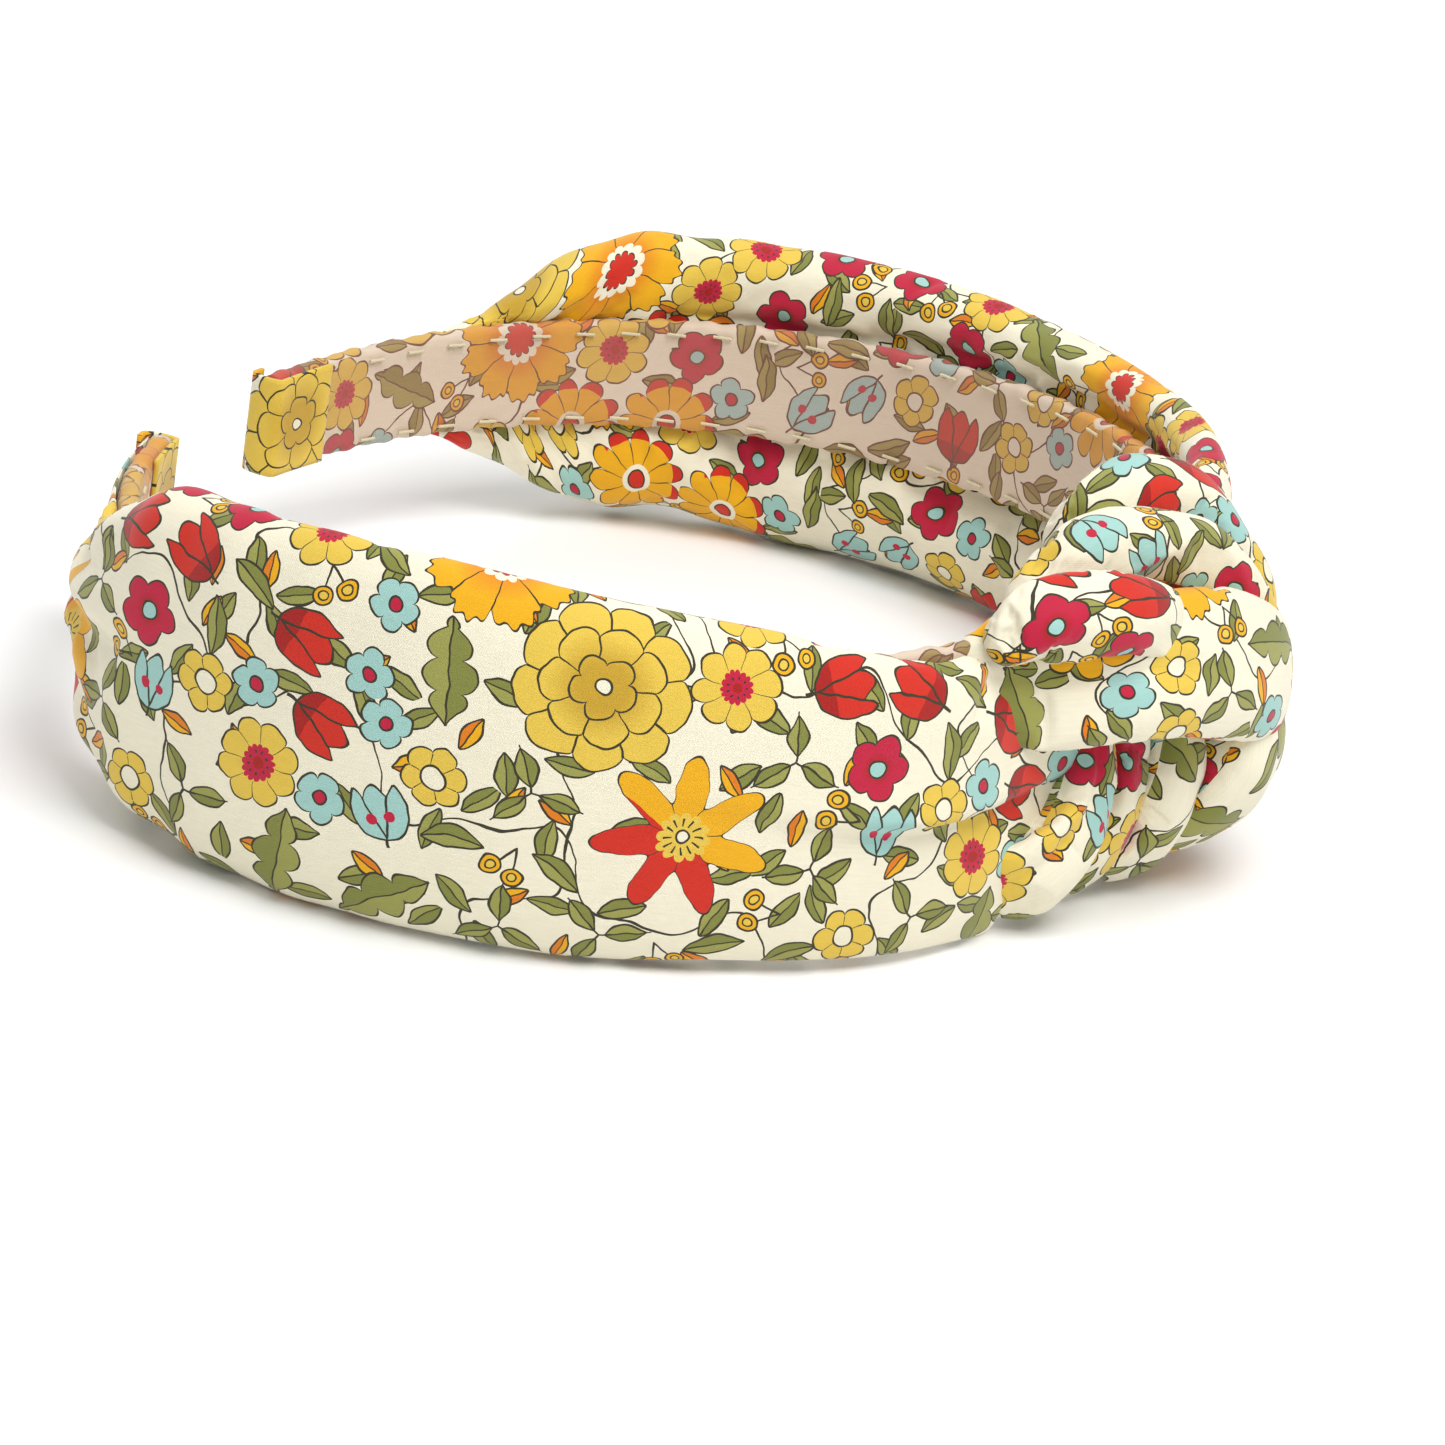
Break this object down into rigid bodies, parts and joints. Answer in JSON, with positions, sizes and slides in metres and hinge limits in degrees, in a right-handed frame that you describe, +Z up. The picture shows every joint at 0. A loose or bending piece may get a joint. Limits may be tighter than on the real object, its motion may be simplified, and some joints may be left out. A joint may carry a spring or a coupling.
{
  "type": "knotted headband",
  "caption": "Springy hoop headband with a wide padded fabric cover that is tied in a turban knot at the crown and narrows to slim covered tips.",
  "frame": {"origin": "centre of the bottom of the bounding box, on the surface that the lower edge rests on", "axes": "+Z up from the resting surface, -Y towards the knot and +Y towards the tips, +X towards the far arm and -X towards the near arm"},
  "size_m": [0.1536, 0.1392, 0.0451],
  "materials": {
    "cover_fabric": "fine plain-weave cotton with a floral print, soft sheen",
    "lining_fabric": "fine plain-weave cotton with the same floral print, matte",
    "core_plastic": "satin moulded",
    "wadding": "matte fibre fill",
    "glue": "set hot-melt glue",
    "thread": "spun cotton thread"
  },
  "bodies": {
    "crown": {"core_crown": "core_plastic", "lining_crown": "lining_fabric", "cover_crown": "cover_fabric", "knot_front_loop": "cover_fabric", "knot_second_roll": "cover_fabric", "knot_third_roll": "cover_fabric", "knot_wrap_strip": "cover_fabric", "knot_first_pleat": "cover_fabric", "knot_second_pleat": "cover_fabric", "knot_third_pleat": "cover_fabric", "knot_tack_stitches": "thread"},
    "near_arm": {"near_core": "core_plastic", "near_lining": "lining_fabric", "near_cover": "cover_fabric", "near_wadding": "wadding", "near_tip_tab": "cover_fabric", "near_tip_glue": "glue", "near_seam_stitches": "thread"},
    "far_arm": {"far_core": "core_plastic", "far_lining": "lining_fabric", "far_cover": "cover_fabric", "far_wadding": "wadding", "far_tip_tab": "cover_fabric", "far_tip_glue": "glue", "far_seam_stitches": "thread"}
  },
  "joints": [
    {"name": "near_arm_flex", "type": "hinge", "parent": "crown", "child": "near_arm", "pos_m": [-0.04211, -0.03827, 0.0234], "axis": [0, 0, 1], "range_deg": [-4, 14], "stiffness_Nm_per_rad": 0.6},
    {"name": "far_arm_flex", "type": "hinge", "parent": "crown", "child": "far_arm", "pos_m": [0.04211, -0.03827, 0.0234], "axis": [0, 0, -1], "range_deg": [-4, 14], "stiffness_Nm_per_rad": 0.6}
  ]
}
